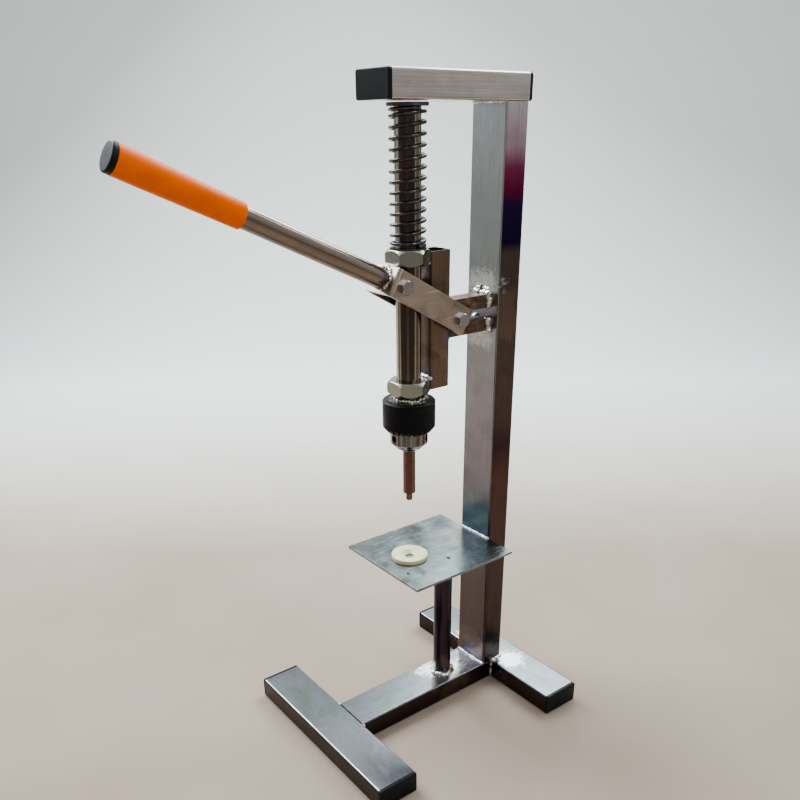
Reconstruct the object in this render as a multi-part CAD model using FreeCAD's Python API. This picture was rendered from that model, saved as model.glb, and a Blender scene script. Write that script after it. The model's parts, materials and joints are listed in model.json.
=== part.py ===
import FreeCAD, Part
import math
import os

# Hand lever bench press with a keyed chuck, welded from rectangular tube.
# Millimetres, +Z up, front of the machine towards -Y, ram axis on X = 0, Y = 0, floor at Z = 0.

os.makedirs("parts", exist_ok=True)
V = FreeCAD.Vector
X, Y, Z = V(1, 0, 0), V(0, 1, 0), V(0, 0, 1)

# ---- driving dimensions -------------------------------------------------------
TUBE_W = 50.0            # rectangular tube, wide side
TUBE_H = 25.0            # rectangular tube, narrow side
COLUMN_D = 30.0          # column tube depth, front to back
WALL = 1.5               # tube wall
TUBE_R = 2.5             # tube corner radius
BASE_LENGTH = 244.0      # cross tubes, without caps
FRONT_TUBE_Y = -140.0    # front face of the front cross tube
REAR_TUBE_Y = 116.0      # front face of the rear cross tube
COLUMN_Y = 102.0         # front face of the column
ARM_Z = 680.0            # underside of the arm
ARM_FRONT_Y = -36.0      # front end of the arm tube
CAP_T = 4.0              # end cap flange
CAP_PLUG = 12.0          # end cap plug depth

PLATE_X = 131.0          # work plate width
PLATE_FRONT_Y = -41.0    # front edge of the work plate
PLATE_TOP_Z = 209.0
PLATE_T = 3.0
PLATE_HOLE_D = 4.5
PLATE_HOLES = ((31.0, -26.0), (31.0, 33.0))
POST_D = 22.0
POST_Y = 52.0
ANVIL_D = 42.0
ANVIL_T = 4.4
ANVIL_HOLE_D = 10.0
ANVIL_DISH_D = 21.0      # the hole opens out to this at the top
ANVIL_LAND = 1.2         # straight part of the hole, at the bottom
ANVIL_EDGE_R = 1.0

RAM_D = 26.0             # ram shaft
RAM_NECK_D = 18.0        # turned down through the top washer
RAM_TOP_GAP = 1.5        # ram top to the underside of the arm
GUIDE_CLEAR = 0.075      # radial clearance, shaft to guide nut
NUT_WALL = 7.0           # guide nut, bore to flat
NUT_H = 15.0
NUT_UPPER_Z = 536.0
NUT_LOWER_Z = 405.0
SPINE = 25.0             # square guide spine
SPINE_SET_IN = 3.0       # nuts stand proud of the spine's ends by this much
SPRING_CLEAR = 1.9       # coil to ram shaft
SPRING_WIRE = 3.2
SPRING_PITCH = 9.5       # of the open coils, about; there is a whole number of them
TOP_WASHER_RIM = 1.6     # top washer beyond the spring
TOP_WASHER_T = 3.0
SEAT_WASHER_T = 1.5

CHUCK_DROP = 6.0         # chuck top below the lower guide nut
SLEEVE_D = 56.5
SLEEVE_WALL = 6.25
SLEEVE_H = 34.0
SLEEVE_LIP = 5.0         # inner lip under the body's step
SLEEVE_TEETH = 24
NOSE_STEP = 1.5          # nose is smaller than the body by this, on radius
NOSE_L = 47.5            # chuck top to the bottom of the straight nose
NOSE_TAPER = 6.5
NOSE_TIP_R = 14.0
JAW_D = 9.0
JAW_ANGLE = 10.0
JAW_L = 30.0
JAW_OUT = 2.0            # jaws below the nose tip
JAW_OFFSET = 2.6         # jaw axis outside the pin's surface, at the jaw tip
KEY_HOLE_D = 7.2
SPIGOT_D = 16.0          # ram spigot inside the chuck
SPIGOT_L = 24.0
PIN_D = 13.6
PIN_L = 108.0            # chuck top to the pin's shoulder
NUB_D = 7.0
NUB_L = 9.0

LEVER_ANGLE = 29.0       # clevis rise above level at rest
TUBE_ANGLE = 24.7        # lever tube rise above level at rest
PIVOT_BEHIND = 8.468     # sliding pivot bolt axis behind the spine, at rest
SLOT_Z = 478.0           # level of the sliding pivot at rest
SLOT_DROP = 0.45         # gap centre below it, the middle of the bolt's rise and fall
SLOT_GAP = 10.6          # height of the gap between the two bracket bars
BAR_W = 20.0
BAR_H = 14.0
BOLT_D = 8.0
BOLT_AF = 13.0
BOLT_HEAD = 5.3
BOLT_NUT = 6.8
BOLT_TAIL = 3.0          # bolt beyond its nut
BOSS_D = 14.0
BOSS_L = 35.0
CLEVIS_W = 42.0          # outside width
CLEVIS_H = 28.0
CLEVIS_T = 3.0
CLEVIS_TAIL = 9.5        # sliding pivot bolt to the clevis ends
CLEVIS_DRIVE = 13.5      # front face of the web to the drive bolt
LEVER_D = 20.0
LEVER_WALL = 2.0
GRIP_START = 161.0       # along the lever tube from the web
LEVER_LENGTH = 272.0
GRIP_D0 = 23.0
GRIP_D1 = 25.0
PLUG_T = 5.0

WELD = 4.0               # bead leg on the main seams
WELD_SMALL = 3.0         # bead leg at the plate and brackets
WELD_RAM = 5.0           # bead leg at the chuck
BEAD_FULLNESS = 0.62     # how far the middle of a bead stands out, as a share of its leg

# ---- derived values -----------------------------------------------------------
COLUMN_BACK_Y = COLUMN_Y + COLUMN_D
RAM_R = RAM_D / 2
RAM_TOP_Z = ARM_Z - RAM_TOP_GAP
NUT_AF = RAM_D + 2 * NUT_WALL
SPINE_Y = NUT_AF / 2
SPINE_BACK_Y = SPINE_Y + SPINE
SPRING_OD = RAM_D + 2 * (SPRING_CLEAR + SPRING_WIRE)
CHUCK_TOP_Z = NUT_LOWER_Z - CHUCK_DROP
DRIVE_Y = -(RAM_R + BOSS_D / 2)
A = math.radians(LEVER_ANGLE)
BOLT_SPACING = (SPINE_BACK_Y + PIVOT_BEHIND - DRIVE_Y) / math.cos(A)
CLEVIS_L = CLEVIS_DRIVE + BOLT_SPACING + CLEVIS_TAIL
DRIVE_Z = SLOT_Z + BOLT_SPACING * math.sin(A)
DRIVE = V(0, DRIVE_Y, DRIVE_Z)
ALONG = V(0, math.cos(A), -math.sin(A))
UP = V(0, math.sin(A), math.cos(A))
PIVOT = DRIVE + ALONG * BOLT_SPACING
WEB = DRIVE - ALONG * CLEVIS_DRIVE
T = math.radians(TUBE_ANGLE)
OUT = V(0, -math.cos(T), math.sin(T))
SLOT_MID = SLOT_Z - SLOT_DROP
SPRING_Z0 = NUT_UPPER_Z + NUT_H + SEAT_WASHER_T
SPRING_Z1 = RAM_TOP_Z - TOP_WASHER_T
SPRING_OPEN_COILS = round((SPRING_Z1 - SPRING_Z0 - 3 * SPRING_WIRE) / SPRING_PITCH)


# ---- helpers ------------------------------------------------------------------
def save(shape, name):
    shape.exportStep("parts/%s.step" % name)


def box(x0, x1, y0, y1, z0, z1):
    return Part.makeBox(x1 - x0, y1 - y0, z1 - z0, V(x0, y0, z0))


def cyl(r, start, axis, length):
    return Part.makeCylinder(r, length, start, axis)


def ring(r_out, r_in, z0, z1):
    return cyl(r_out, V(0, 0, z0), Z, z1 - z0).cut(cyl(r_in, V(0, 0, z0 - 1), Z, z1 - z0 + 2))


def revolve(points):
    wire = Part.makePolygon([V(r, 0, z) for r, z in points] + [V(points[0][0], 0, points[0][1])])
    return Part.Face(wire).revolve(V(0, 0, 0), Z, 360)


def along_edges(shape, axis):
    """Straight edges of a shape that run along the given axis."""
    out = []
    for e in shape.Edges:
        d = e.Vertexes[-1].Point - e.Vertexes[0].Point
        if d.Length > 1e-6 and abs(abs(d.normalize() * axis) - 1) < 1e-6:
            out.append(e)
    return out


def tube(x0, x1, y0, y1, z0, z1, axis):
    """Rectangular tube with rounded corners, open at both ends along the axis."""
    outer = box(x0, x1, y0, y1, z0, z1)
    outer = outer.makeFillet(TUBE_R, along_edges(outer, axis))
    w = V(WALL, WALL, WALL) - axis * (WALL + 1)
    inner = box(x0 + w.x, x1 - w.x, y0 + w.y, y1 - w.y, z0 + w.z, z1 - w.z)
    inner = inner.makeFillet(TUBE_R - WALL + 0.2, along_edges(inner, axis))
    return outer.cut(inner)


def end_cap(center, outward, wide, high):
    """Plastic end cap: a flange flush with the tube and a hollow plug inside it."""
    side = X if abs(outward.x) < 0.5 else Y

    def slab(a, b, w, h):
        s = side * (w / 2)
        u = Z * (h / 2)
        p = [center + outward * a + s + u, center + outward * b - s - u]
        return box(min(p[0].x, p[1].x), max(p[0].x, p[1].x), min(p[0].y, p[1].y),
                   max(p[0].y, p[1].y), min(p[0].z, p[1].z), max(p[0].z, p[1].z))
    flange = slab(0, CAP_T, wide, high)
    flange = flange.makeFillet(TUBE_R, along_edges(flange, outward))
    rim = [e for e in flange.Edges
           if all(abs((v.Point - center) * outward - CAP_T) < 1e-6 for v in e.Vertexes)]
    flange = flange.makeFillet(1.0, rim)
    fit = 2 * WALL + 0.6
    plug = slab(-CAP_PLUG, 0, wide - fit, high - fit)
    plug = plug.cut(slab(-CAP_PLUG - 1, -2.0, wide - fit - 4, high - fit - 4))
    return flange.fuse(plug)


def bead(a, b, leg, n1, n2):
    """Fillet weld along the line a-b, lying against the two faces whose normals are n1, n2."""
    mid = leg * BEAD_FULLNESS
    outline = Part.makePolygon([a, a + n1 * leg, a + (n1 + n2) * mid, a + n2 * leg, a])
    return Part.Face(outline).extrude(b - a)


def ring_bead(r, z, leg, up=1):
    mid = leg * BEAD_FULLNESS
    return revolve([(r, z), (r + leg, z), (r + mid, z + up * mid), (r, z + up * leg)])


def hexagon(af, start, axis, length, first):
    """Hexagonal prism, with a flat facing the direction first."""
    r = af / math.sqrt(3)
    other = axis.cross(first)
    pts = []
    for i in range(7):
        t = math.radians(30 + 60 * i)
        pts.append(start + first * (r * math.cos(t)) + other * (r * math.sin(t)))
    return Part.Face(Part.makePolygon(pts)).extrude(axis * length)


def chamfered_hex(af, start, axis, length, first, both=True):
    """Hexagonal prism with its corners turned off at the far end, or at both."""
    prism = hexagon(af, start, axis, length, first)
    face_r = af / 2 * 0.985
    if both:
        prism = prism.common(Part.makeCone(face_r, face_r + length, length, start, axis))
    end = start + axis * length
    return prism.common(Part.makeCone(face_r, face_r + length, length, end, axis * -1))


# ---- base ---------------------------------------------------------------------
half = BASE_LENGTH / 2
hw = TUBE_W / 2
front = tube(-half, half, FRONT_TUBE_Y, FRONT_TUBE_Y + TUBE_W, 0, TUBE_H, X)
rear = tube(-half, half, REAR_TUBE_Y, REAR_TUBE_Y + TUBE_W, 0, TUBE_H, X)
rail = tube(-hw, hw, FRONT_TUBE_Y + TUBE_W, REAR_TUBE_Y, 0, TUBE_H, Y)
save(front, "base_front_tube")
save(rear, "base_rear_tube")
save(rail, "base_center_rail")

for name, y in (("front", FRONT_TUBE_Y + hw), ("rear", REAR_TUBE_Y + hw)):
    save(end_cap(V(-half, y, TUBE_H / 2), V(-1, 0, 0), TUBE_W, TUBE_H), "cap_%s_left" % name)
    save(end_cap(V(half, y, TUBE_H / 2), V(1, 0, 0), TUBE_W, TUBE_H), "cap_%s_right" % name)

# ---- column and arm -----------------------------------------------------------
column = tube(-hw, hw, COLUMN_Y, COLUMN_BACK_Y, TUBE_H, ARM_Z, Z)
arm = tube(-hw, hw, ARM_FRONT_Y, COLUMN_BACK_Y, ARM_Z, ARM_Z + TUBE_H, Y)
save(column, "column_tube")
save(arm, "arm_tube")
save(end_cap(V(0, ARM_FRONT_Y, ARM_Z + TUBE_H / 2), V(0, -1, 0), TUBE_W, TUBE_H), "cap_arm_front")
save(end_cap(V(0, COLUMN_BACK_Y, ARM_Z + TUBE_H / 2), V(0, 1, 0), TUBE_W, TUBE_H), "cap_arm_rear")

# ---- work plate, post, anvil ring ----------------------------------------------
plate_z0 = PLATE_TOP_Z - PLATE_T
plate = box(-PLATE_X / 2, PLATE_X / 2, PLATE_FRONT_Y, COLUMN_Y, plate_z0, PLATE_TOP_Z)
plate = plate.makeFillet(0.6, along_edges(plate, Z))
for hx, hy in PLATE_HOLES:
    plate = plate.cut(cyl(PLATE_HOLE_D / 2, V(hx, hy, plate_z0 - 1), Z, PLATE_T + 2))
save(plate, "work_plate")
save(cyl(POST_D / 2, V(0, POST_Y, TUBE_H), Z, plate_z0 - TUBE_H), "plate_post")
hole_r, dish_r, anvil_r = ANVIL_HOLE_D / 2, ANVIL_DISH_D / 2, ANVIL_D / 2
anvil_top = PLATE_TOP_Z + ANVIL_T
anvil = revolve([(hole_r, PLATE_TOP_Z), (anvil_r, PLATE_TOP_Z), (anvil_r, anvil_top), (dish_r, anvil_top),
                 (hole_r, PLATE_TOP_Z + ANVIL_LAND)])
rims = [e for e in anvil.Edges if e.BoundBox.ZMin > anvil_top - 0.01]
save(anvil.makeFillet(ANVIL_EDGE_R, rims), "anvil_ring")

# ---- guide: spine, two bored hex nuts, two bracket bars --------------------------
spine = tube(-SPINE / 2, SPINE / 2, SPINE_Y, SPINE_BACK_Y,
             NUT_LOWER_Z + SPINE_SET_IN, NUT_UPPER_Z + NUT_H - SPINE_SET_IN, Z)
save(spine, "guide_spine")
for name, z in (("upper", NUT_UPPER_Z), ("lower", NUT_LOWER_Z)):
    nut = chamfered_hex(NUT_AF, V(0, 0, z), Z, NUT_H, Y)
    nut = nut.cut(cyl(RAM_R + GUIDE_CLEAR, V(0, 0, z - 1), Z, NUT_H + 2))
    save(nut, "guide_nut_%s" % name)
gap0 = SLOT_MID - SLOT_GAP / 2
gap1 = SLOT_MID + SLOT_GAP / 2
bar = BAR_W / 2
save(box(-bar, bar, SPINE_BACK_Y, COLUMN_Y, gap1, gap1 + BAR_H), "bracket_bar_upper")
save(box(-bar, bar, SPINE_BACK_Y, COLUMN_Y, gap0 - BAR_H, gap0), "bracket_bar_lower")
save(ring(SPRING_OD / 2, RAM_R + 0.5, SPRING_Z0 - SEAT_WASHER_T, SPRING_Z0), "spring_seat_washer")

# ---- weld beads -----------------------------------------------------------------
left, front_n, down = X * -1, Y * -1, Z * -1
seam = hw - TUBE_R       # straight seams stop at the tube's rounded corners


def cross_bead(half_w, y, z, leg, n1, n2):
    return bead(V(-half_w, y, z), V(half_w, y, z), leg, n1, n2)


foot = [cross_bead(seam, COLUMN_Y, TUBE_H, WELD, front_n, Z),
        cross_bead(seam, COLUMN_BACK_Y, TUBE_H, WELD, Y, Z),
        cross_bead(seam, COLUMN_Y, ARM_Z, WELD, front_n, down)]
side_y0, side_y1 = REAR_TUBE_Y + TUBE_R, COLUMN_BACK_Y - TUBE_R
for sx, n in ((1, X), (-1, left)):
    foot.append(bead(V(sx * hw, side_y0, TUBE_H), V(sx * hw, side_y1, TUBE_H), WELD, n, Z))
save(Part.makeCompound(foot), "weld_beads_column")

base_beads = []
for sx, nx in ((1, X), (-1, left)):
    for y, ny in ((FRONT_TUBE_Y + TUBE_W, Y), (REAR_TUBE_Y, front_n)):
        base_beads.append(bead(V(sx * hw, y, TUBE_R), V(sx * hw, y, TUBE_H - TUBE_R), WELD, nx, ny))
save(Part.makeCompound(base_beads), "weld_beads_base")

plate_beads = [cross_bead(seam, COLUMN_Y, PLATE_TOP_Z, WELD_SMALL, front_n, Z),
               cross_bead(seam, COLUMN_Y, plate_z0, WELD_SMALL, front_n, down)]
for z, up in ((TUBE_H, 1), (plate_z0, -1)):
    collar = ring_bead(POST_D / 2, z, WELD, up)
    collar.translate(V(0, POST_Y, 0))
    plate_beads.append(collar)
save(Part.makeCompound(plate_beads), "weld_beads_plate")

guide_beads = [cross_bead(bar, SPINE_Y, NUT_UPPER_Z, WELD_SMALL, front_n, down),
               cross_bead(bar, SPINE_Y, NUT_LOWER_Z + NUT_H, WELD_SMALL, front_n, Z)]
for z, n in ((gap1 + BAR_H, Z), (gap0 - BAR_H, down)):
    guide_beads.append(cross_bead(bar - 1, SPINE_BACK_Y, z, WELD_SMALL, Y, n))
    guide_beads.append(cross_bead(bar - 1, COLUMN_Y, z, WELD_SMALL, front_n, n))
for z0 in (gap1, gap0 - BAR_H):
    for sx, n in ((1, X), (-1, left)):
        low_end = V(sx * bar, COLUMN_Y, z0 + 1)
        guide_beads.append(bead(low_end, low_end + Z * (BAR_H - 2), WELD_SMALL, n, front_n))
save(Part.makeCompound(guide_beads), "weld_beads_guide")

# ---- ram ------------------------------------------------------------------------
spigot_z = CHUCK_TOP_Z - SPIGOT_L
neck_z = RAM_TOP_Z - TOP_WASHER_T
shaft = cyl(RAM_R, V(0, 0, CHUCK_TOP_Z), Z, RAM_TOP_Z - CHUCK_TOP_Z)
shaft = shaft.fuse(cyl(SPIGOT_D / 2, V(0, 0, spigot_z), Z, SPIGOT_L))
shaft = shaft.cut(ring(RAM_D, RAM_NECK_D / 2, neck_z, RAM_TOP_Z + 1))
save(shaft, "ram_shaft")
save(ring(SPRING_OD / 2 + TOP_WASHER_RIM, RAM_NECK_D / 2, neck_z, RAM_TOP_Z), "ram_top_washer")
boss = cyl(BOSS_D / 2, DRIVE - X * (BOSS_L / 2), X, BOSS_L)
boss = boss.cut(cyl(BOLT_D / 2 + 0.075, DRIVE - X * BOSS_L, X, BOSS_L * 2))
boss = boss.cut(cyl(RAM_R, V(0, 0, DRIVE_Z - BOSS_D), Z, 2 * BOSS_D))
save(boss, "ram_drive_boss")
save(ring_bead(RAM_R, CHUCK_TOP_Z, WELD_RAM), "ram_chuck_weld")

# ---- chuck ----------------------------------------------------------------------
sleeve_r = SLEEVE_D / 2
body_r = sleeve_r - SLEEVE_WALL
nose_r = body_r - NOSE_STEP
nose_z = CHUCK_TOP_Z - NOSE_L
tip_z = nose_z - NOSE_TAPER
sleeve_z = CHUCK_TOP_Z - SLEEVE_H
lip_z = sleeve_z + SLEEVE_LIP + 0.3
groove0, groove1 = CHUCK_TOP_Z - 20.0, CHUCK_TOP_Z - 14.0
groove_r = body_r - 1.3
body = revolve([(0.0, tip_z), (NOSE_TIP_R, tip_z), (nose_r, nose_z), (nose_r, lip_z + 0.3),
                (body_r, lip_z + 0.3), (body_r, groove0), (groove_r, groove0), (groove_r, groove1),
                (body_r, groove1), (body_r, CHUCK_TOP_Z), (0.0, CHUCK_TOP_Z)])
body = body.cut(cyl(SPIGOT_D / 2, V(0, 0, spigot_z), Z, SPIGOT_L + 1))
body = body.cut(cyl(PIN_D / 2 + 0.35, V(0, 0, tip_z - 1), Z, spigot_z - 2 - tip_z))

ja = math.radians(JAW_ANGLE)
jaw_z0 = tip_z - JAW_OUT
jaw_r0 = PIN_D / 2 + JAW_OFFSET
jaw_run_out = 10.5       # jaw bore beyond the jaw, room to open
jaw_point = Part.makeCone(jaw_r0 + 2.2, jaw_r0 + 92.2, 90, V(0, 0, jaw_z0), Z)
pin_bore = cyl(PIN_D / 2 + 0.3, V(0, 0, 0), Z, spigot_z - 2)
above_tip = box(-sleeve_r, sleeve_r, -sleeve_r, sleeve_r, jaw_z0, CHUCK_TOP_Z)
for i in range(3):
    t = math.radians(90 + 120 * i)
    radial = V(math.cos(t), math.sin(t), 0)
    axis = radial * math.sin(ja) + Z * math.cos(ja)
    start = radial * jaw_r0 + Z * jaw_z0
    body = body.cut(cyl(JAW_D / 2 + 0.3, start - axis * 4, axis, JAW_L + 4 + jaw_run_out))
    jaw = cyl(JAW_D / 2, start - axis * 3, axis, JAW_L + 3)
    save(jaw.cut(pin_bore).common(above_tip).common(jaw_point), "chuck_jaw_%d" % (i + 1))
for i in range(3):
    t = math.radians(30 + 120 * i)
    radial = V(math.cos(t), math.sin(t), 0)
    hole_start = V(0, 0, nose_z + NOSE_TAPER) + radial * (nose_r / 2 + 0.75)
    body = body.cut(cyl(KEY_HOLE_D / 2, hole_start, radial, nose_r))
save(body, "chuck_body")

sleeve = revolve([(nose_r + 0.3, sleeve_z), (sleeve_r - 4.0, sleeve_z), (sleeve_r, sleeve_z + SLEEVE_LIP),
                  (sleeve_r, CHUCK_TOP_Z - 1.5), (sleeve_r - 1.5, CHUCK_TOP_Z), (body_r + 0.08, CHUCK_TOP_Z),
                  (body_r + 0.08, lip_z), (nose_r + 0.3, lip_z)])
notch_w, notch_h, notch_tilt = 2.6, 6.4, 50
for i in range(SLEEVE_TEETH):
    notch = box(-notch_w / 2, notch_w / 2, sleeve_r - 6.5, sleeve_r + 2, -notch_h / 2, notch_h / 2)
    notch.rotate(V(0, sleeve_r - 2, 0), X, notch_tilt)
    notch.translate(V(0, 0, sleeve_z + 1.2))
    notch.rotate(V(0, 0, 0), Z, 360.0 / SLEEVE_TEETH * i)
    sleeve = sleeve.cut(notch)
save(sleeve, "chuck_sleeve")
save(ring(body_r + 0.08, body_r - 1.05, groove0 + 0.3, groove1 - 0.3), "chuck_nut_ring")

pin_z = CHUCK_TOP_Z - PIN_L
nub_z = pin_z - NUB_L
pin = cyl(PIN_D / 2, V(0, 0, pin_z), Z, spigot_z - 4 - pin_z)
pin = pin.fuse(cyl(NUB_D / 2, V(0, 0, nub_z), Z, NUB_L))
rims = [e for e in pin.Edges if len(e.Vertexes) == 1 and e.BoundBox.ZLength < 1e-6
        and (abs(e.BoundBox.ZMin - nub_z) < 1e-6
             or (abs(e.BoundBox.ZMin - pin_z) < 1e-6 and e.BoundBox.XLength > NUB_D + 1))]
save(pin.makeChamfer(0.6, rims), "tool_pin")

# ---- return spring ----------------------------------------------------------------
wire_r = SPRING_WIRE / 2
coil_r = SPRING_OD / 2 - wire_r
closed_pitch = SPRING_WIRE * 1.06
height = SPRING_Z1 - SPRING_Z0 - SPRING_WIRE
open_pitch = (height - 2 * closed_pitch) / SPRING_OPEN_COILS
z = SPRING_Z0 + wire_r
coils = []
for pitch, turns in ((closed_pitch, 1), (open_pitch, SPRING_OPEN_COILS), (closed_pitch, 1)):
    helix = Part.makeHelix(pitch, pitch * turns, coil_r)
    helix.translate(V(0, 0, z))
    profile = Part.Wire(Part.makeCircle(wire_r, V(coil_r, 0, z), Y))
    coils.append(Part.Wire(helix).makePipeShell([profile], True, True))
    z += pitch * turns
save(Part.makeCompound(coils), "return_spring")


# ---- lever ------------------------------------------------------------------------
def place(shape):
    """Clevis coordinates (across, along, up) from the web's front face to the machine."""
    shape.rotate(V(0, 0, 0), X, -LEVER_ANGLE)
    shape.translate(WEB)
    return shape


cw, ch = CLEVIS_W / 2, CLEVIS_H / 2
bend_r, inner_bend_r, tail_r = 4.0, 1.2, 2.0
outer = box(-cw, cw, 0, CLEVIS_L, -ch, ch)
outer = outer.makeFillet(bend_r, [e for e in along_edges(outer, Z) if e.CenterOfMass.y < 1])
inner = box(-cw + CLEVIS_T, cw - CLEVIS_T, CLEVIS_T, CLEVIS_L + 5, -ch - 1, ch + 1)
inner = inner.makeFillet(inner_bend_r, [e for e in along_edges(inner, Z) if e.CenterOfMass.y < CLEVIS_T + 1])
clevis = outer.cut(inner)
clevis = clevis.makeFillet(tail_r, [e for e in along_edges(clevis, X) if e.CenterOfMass.y > CLEVIS_L - 1])
for u in (CLEVIS_DRIVE, CLEVIS_DRIVE + BOLT_SPACING):
    clevis = clevis.cut(cyl(BOLT_D / 2, V(-CLEVIS_W, u, 0), X, CLEVIS_W * 2))
save(place(clevis), "lever_clevis")

lever_r = LEVER_D / 2
run_in = 12.0            # tube started behind the web, then trimmed to its face
ahead = place(box(-60, 60, -LEVER_LENGTH - 60, 0, -LEVER_LENGTH, LEVER_LENGTH))
solid_bar = cyl(lever_r, WEB - OUT * run_in, OUT, LEVER_LENGTH + run_in)
bore = cyl(lever_r - LEVER_WALL, WEB - OUT * run_in, OUT, LEVER_LENGTH + 2 * run_in)
save(solid_bar.common(ahead).cut(bore), "lever_tube")
collar = Part.makeCone(lever_r + 4.5, lever_r - 3.0, 7.5, WEB - OUT * 1.5, OUT)
save(collar.common(ahead).cut(cyl(lever_r, WEB - OUT * run_in, OUT, 3 * run_in)), "lever_weld")

grip = Part.makeCone(GRIP_D0 / 2, GRIP_D1 / 2, LEVER_LENGTH - GRIP_START, WEB + OUT * GRIP_START, OUT)
grip = grip.cut(cyl(lever_r, WEB + OUT * (GRIP_START - 1), OUT, LEVER_LENGTH))
save(grip, "lever_grip")
end = WEB + OUT * LEVER_LENGTH
plug = cyl(GRIP_D1 / 2 - 0.2, end, OUT, PLUG_T)
plug = plug.makeFillet(1.5, [e for e in plug.Edges if len(e.Vertexes) == 1
                             and (e.CenterOfMass - end) * OUT > PLUG_T - 0.1])
plug = plug.fuse(cyl(lever_r - LEVER_WALL, end - OUT * CAP_PLUG, OUT, CAP_PLUG))
save(plug, "grip_end_plug")

for name, at in (("drive", DRIVE), ("pivot", PIVOT)):
    head = chamfered_hex(BOLT_AF, at + X * cw, X, BOLT_HEAD, UP, False)
    shank_end = cw + BOLT_NUT + BOLT_TAIL
    shank = cyl(BOLT_D / 2, at - X * shank_end, X, shank_end + cw)
    tip = [e for e in shank.Edges if len(e.Vertexes) == 1 and e.CenterOfMass.x < -cw]
    save(shank.makeChamfer(0.8, tip).fuse(head), "%s_bolt" % name)
    nut = chamfered_hex(BOLT_AF, at - X * (cw + BOLT_NUT), X, BOLT_NUT, UP)
    save(nut.cut(cyl(BOLT_D / 2, at - X * (cw + BOLT_NUT + 1), X, BOLT_NUT + 2)), "%s_bolt_nut" % name)
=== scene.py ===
# %% [markdown]
# # A hand lever bench press, dressed for the studio
# The machine is welded from polished rectangular tube. A long lever pushes a sprung ram down, and
# a keyed drill chuck on the ram holds a stepped pin over a small work plate. The frame holds every
# part at its real size; these cells give each part its finish and add what a maker would see up
# close: weld beads, heat colours, worn edges.

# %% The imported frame
import json
import math

import bmesh
import bpy
from mathutils import Matrix, Vector

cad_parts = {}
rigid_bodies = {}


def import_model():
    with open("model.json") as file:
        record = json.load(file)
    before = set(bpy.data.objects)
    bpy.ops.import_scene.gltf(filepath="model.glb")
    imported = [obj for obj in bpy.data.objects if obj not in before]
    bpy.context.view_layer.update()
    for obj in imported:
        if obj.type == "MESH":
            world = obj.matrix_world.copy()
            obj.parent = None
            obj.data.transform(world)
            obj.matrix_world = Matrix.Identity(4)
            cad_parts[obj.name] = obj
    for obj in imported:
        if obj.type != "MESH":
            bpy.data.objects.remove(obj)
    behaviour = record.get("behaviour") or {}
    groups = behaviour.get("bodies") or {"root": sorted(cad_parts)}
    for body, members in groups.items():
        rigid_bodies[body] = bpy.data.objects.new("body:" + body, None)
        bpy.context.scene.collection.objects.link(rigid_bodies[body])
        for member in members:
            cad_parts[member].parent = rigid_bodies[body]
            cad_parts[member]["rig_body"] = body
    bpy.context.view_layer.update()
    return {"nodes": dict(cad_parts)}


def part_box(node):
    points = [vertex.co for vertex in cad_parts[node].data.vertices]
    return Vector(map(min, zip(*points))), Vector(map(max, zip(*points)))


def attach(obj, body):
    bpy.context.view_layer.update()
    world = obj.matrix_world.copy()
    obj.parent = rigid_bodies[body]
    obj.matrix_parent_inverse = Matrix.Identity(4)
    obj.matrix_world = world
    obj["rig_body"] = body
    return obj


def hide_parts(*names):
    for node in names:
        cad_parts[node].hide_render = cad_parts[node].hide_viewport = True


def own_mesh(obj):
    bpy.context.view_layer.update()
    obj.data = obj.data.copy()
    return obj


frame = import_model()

nodes = frame["nodes"]


# %% [markdown]
# ## Places
# Everything is measured from the parts themselves. The ram's axis is the Z axis, the floor is Z =
# 0, and the front of the machine looks towards -Y.

# %% Places taken from the parts
def low(node):
    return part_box(node)[0]


def high(node):
    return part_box(node)[1]


def middle(node):
    a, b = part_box(node)
    return (a + b) / 2


MM = 0.001
COLUMN_FRONT = low("column_tube").y
COLUMN_BACK = high("column_tube").y
TUBE_HALF = high("column_tube").x
RAIL_TOP = high("base_center_rail").z
PLATE_TOP = high("work_plate").z
PLATE_UNDER = low("work_plate").z
ARM_UNDER = low("arm_tube").z
POST = middle("plate_post")
POST_RADIUS = (high("plate_post").x - low("plate_post").x) / 2
RAM_RADIUS = high("ram_shaft").x
SPINE_FRONT = low("guide_spine").y
SPINE_BACK = high("guide_spine").y
print("column front at", round(COLUMN_FRONT, 4), "plate top at", round(PLATE_TOP, 4))

# %% [markdown]
# ## A short vocabulary for materials
# A material is a tree of nodes. These helpers add a node, set its values and join it to the last
# one, so that a finish below reads like a recipe: pattern, ramp, colour, roughness, bump.


# %% Material helpers
def start(name, metallic=0.0, roughness=0.5):
    """A new node material, its tree and its shader."""
    material = bpy.data.materials.new(name)
    material.use_nodes = True
    shader = material.node_tree.nodes["Principled BSDF"]
    shader.inputs["Metallic"].default_value = metallic
    shader.inputs["Roughness"].default_value = roughness
    return material, material.node_tree, shader


def add(tree, kind, values=None, **settings):
    """Adds a node, with input values by name or number and settings by keyword."""
    node = tree.nodes.new(kind)
    for key, value in settings.items():
        setattr(node, key, value)
    for key, value in (values or {}).items():
        if isinstance(value, bpy.types.NodeSocket):
            tree.links.new(value, node.inputs[key])
        else:
            node.inputs[key].default_value = value
    return node


def coords(tree, scale=(1, 1, 1), turn=(0, 0, 0), move=(0, 0, 0)):
    """Object coordinates, in metres, stretched and turned."""
    source = add(tree, "ShaderNodeTexCoord")
    mapping = add(tree, "ShaderNodeMapping", {"Vector": source.outputs["Object"], "Scale": scale,
                                              "Rotation": turn, "Location": move})
    return mapping.outputs["Vector"]


def noise(tree, vector, scale, detail=4.0, rough=0.55, bend=0.0):
    node = add(tree, "ShaderNodeTexNoise", {"Vector": vector, "Scale": scale, "Detail": detail,
                                            "Roughness": rough, "Distortion": bend})
    return node.outputs["Fac"]


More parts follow.
